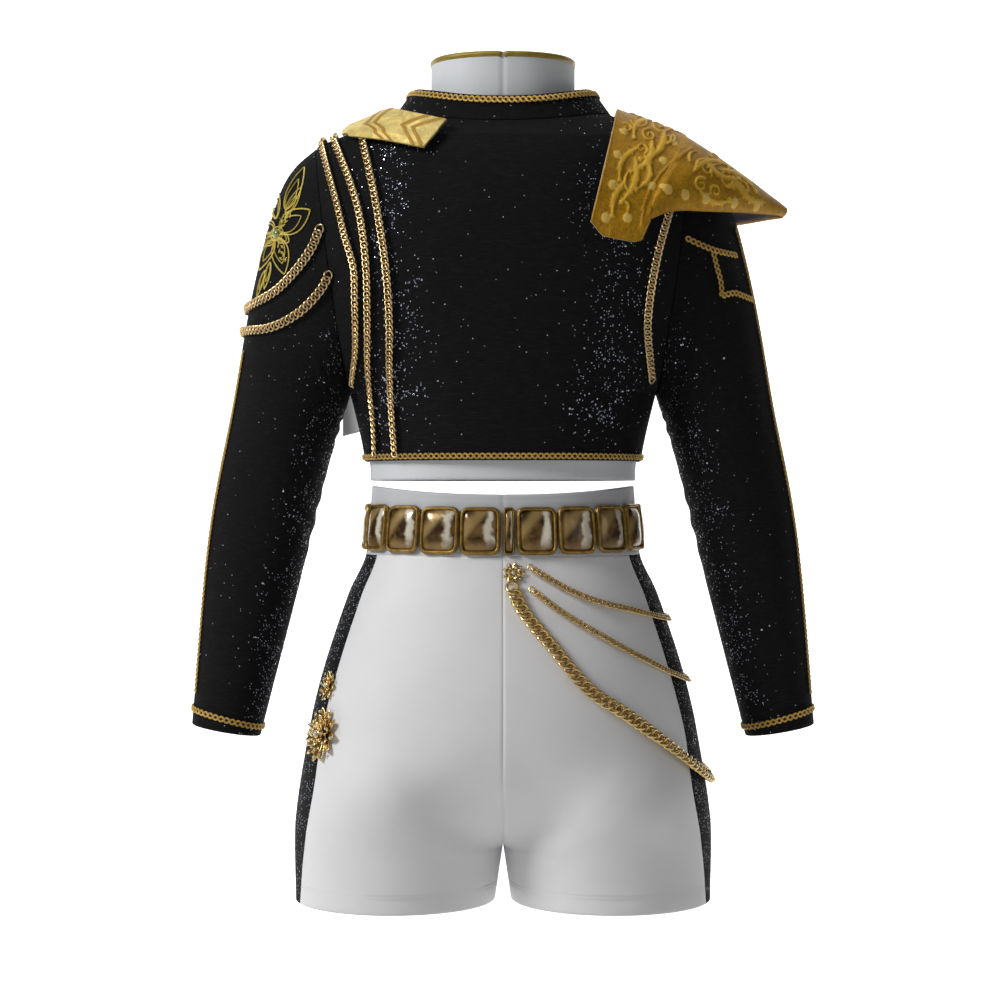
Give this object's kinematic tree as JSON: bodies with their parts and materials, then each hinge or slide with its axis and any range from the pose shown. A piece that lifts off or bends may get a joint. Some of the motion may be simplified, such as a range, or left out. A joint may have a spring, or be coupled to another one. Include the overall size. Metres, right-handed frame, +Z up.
{
  "type": "cheer uniform",
  "caption": "Two-piece cheer uniform: sequinned cropped jacket with a gold shoulder cape and chains over a white high-necked under-top, and white high-waisted shorts with a cabochon waistband.",
  "frame": {"origin": "centre of the shorts' waist opening", "axes": "+Z up; the wearer's back faces -Y and the wearer's right hand is on +X"},
  "size_m": [0.5654, 0.2598, 0.7535],
  "materials": {
    "black_sequin": "matt black knit scattered with small clear sequins",
    "white_knit": "fine matt white stretch knit",
    "white_spandex": "smooth white stretch knit with a soft sheen",
    "gold_binding": "satin binding tape",
    "gold_braid": "metallic thread gimp",
    "gold_chain": "polished curb links",
    "pale_gold_brocade": "pale gold brocade with woven chevrons",
    "gold_brocade": "raised gold brocade",
    "cape_lining": "grey satin lining",
    "stiffener": "foam stiffener",
    "gold_stud": "hammered domes",
    "gold_setting": "worn cast rims",
    "cabochon": "mirror-backed brown and cream cabochon",
    "gold_jewel": "cast petals with crystals",
    "zip_metal": "satin",
    "elastic": "ribbed elastic"
  },
  "bodies": {
    "shorts": {"waistband": "white_spandex", "waistband_elastic": "elastic", "gem_settings": "gold_setting", "waist_gems": "cabochon", "shorts_back_left": "white_spandex", "shorts_back_right": "white_spandex", "shorts_front_left": "white_spandex", "shorts_front_right": "white_spandex", "side_stripe_left": "black_sequin", "side_stripe_right": "black_sequin", "leg_hem_left": "white_spandex", "leg_hem_right": "white_spandex", "hip_brooch_upper": "gold_jewel", "hip_brooch_lower": "gold_jewel", "rosette_back": "gold_jewel", "rosette_front": "gold_jewel"},
    "top": {"back_panel": "black_sequin", "front_panel_left": "black_sequin", "front_panel_right": "black_sequin", "stand_collar": "black_sequin", "collar_braid": "gold_braid", "hem_braid": "gold_braid", "under_top_back": "white_knit", "under_top_front": "white_knit", "inner_collar": "white_knit", "collar_binding": "gold_binding", "neck_zip_tapes": "white_knit", "shoulder_chain_outer": "gold_chain", "shoulder_chain_middle": "gold_chain", "shoulder_chain_inner": "gold_chain", "armhole_chain": "gold_chain"},
    "sleeve_left": {"sleeve_left": "black_sequin", "cuff_braid_left": "gold_braid", "seam_braid_left": "gold_braid", "sleeve_chain_upper": "gold_chain", "sleeve_chain_lower": "gold_chain", "flower_embroidery": "gold_braid", "flower_stone": "gold_jewel"},
    "sleeve_right": {"sleeve_right": "black_sequin", "cuff_braid_right": "gold_braid", "seam_braid_right": "gold_braid", "sleeve_tab_braid": "gold_braid"},
    "cape": {"cape_cover": "gold_brocade", "cape_core": "stiffener", "cape_lining": "cape_lining", "cape_studs": "gold_stud"},
    "epaulette": {"epaulette_cover": "pale_gold_brocade", "epaulette_lining": "cape_lining", "epaulette_chevrons": "gold_braid"},
    "drape": {"drape_cover": "gold_brocade", "drape_lining": "white_knit"},
    "zip_slider": {"zip_slider": "zip_metal"},
    "zip_pull": {"zip_pull": "zip_metal"},
    "hip_chain_upper": {"hip_chain_upper": "gold_chain"},
    "hip_chain_middle": {"hip_chain_middle": "gold_chain"},
    "hip_chain_heavy": {"hip_chain_heavy": "gold_chain"}
  },
  "joints": [
    {"name": "top_lift", "type": "slide", "parent": "shorts", "child": "top", "axis": [0, 0, 1], "range_m": [0, 0.35]},
    {"name": "sleeve_left_raise", "type": "hinge", "parent": "top", "child": "sleeve_left", "pos_m": [-0.167, 0, 0.306], "axis": [0, 1, 0], "range_deg": [0, 45]},
    {"name": "sleeve_right_raise", "type": "hinge", "parent": "top", "child": "sleeve_right", "pos_m": [0.167, 0, 0.306], "axis": [0, -1, 0], "range_deg": [0, 45]},
    {"name": "cape_lift", "type": "hinge", "parent": "top", "child": "cape", "pos_m": [0.101, 0, 0.338], "axis": [0, -1, 0], "range_deg": [0, 27]},
    {"name": "epaulette_lift", "type": "hinge", "parent": "top", "child": "epaulette", "pos_m": [-0.143, -0.04, 0.318], "axis": [0, -1, 0], "range_deg": [0, 60]},
    {"name": "drape_swing", "type": "hinge", "parent": "top", "child": "drape", "pos_m": [-0.107, 0.124, 0.214], "axis": [1, 0, 0], "range_deg": [0, 35]},
    {"name": "zip_slide", "type": "slide", "parent": "top", "child": "zip_slider", "axis": [0, 0, -1], "range_m": [0, 0.026]},
    {"name": "zip_pull_swing", "type": "hinge", "parent": "zip_slider", "child": "zip_pull", "pos_m": [0, -0.0486, 0.378], "axis": [1, 0, 0], "range_deg": [0, 90]},
    {"name": "hip_chain_upper_swing", "type": "hinge", "parent": "shorts", "child": "hip_chain_upper", "pos_m": [0.009, 0, -0.072], "axis": [0, -1, 0], "range_deg": [0, 15]},
    {"name": "hip_chain_middle_swing", "type": "hinge", "parent": "shorts", "child": "hip_chain_middle", "pos_m": [0.009, 0, -0.072], "axis": [0, -1, 0], "range_deg": [0, 12]},
    {"name": "hip_chain_heavy_swing", "type": "hinge", "parent": "shorts", "child": "hip_chain_heavy", "pos_m": [0.009, 0, -0.072], "axis": [0, -1, 0], "range_deg": [0, 8]}
  ],
  "couplings": [
    {"joint": "cape_lift", "follows": "sleeve_right_raise", "ratio": 0.6}
  ]
}
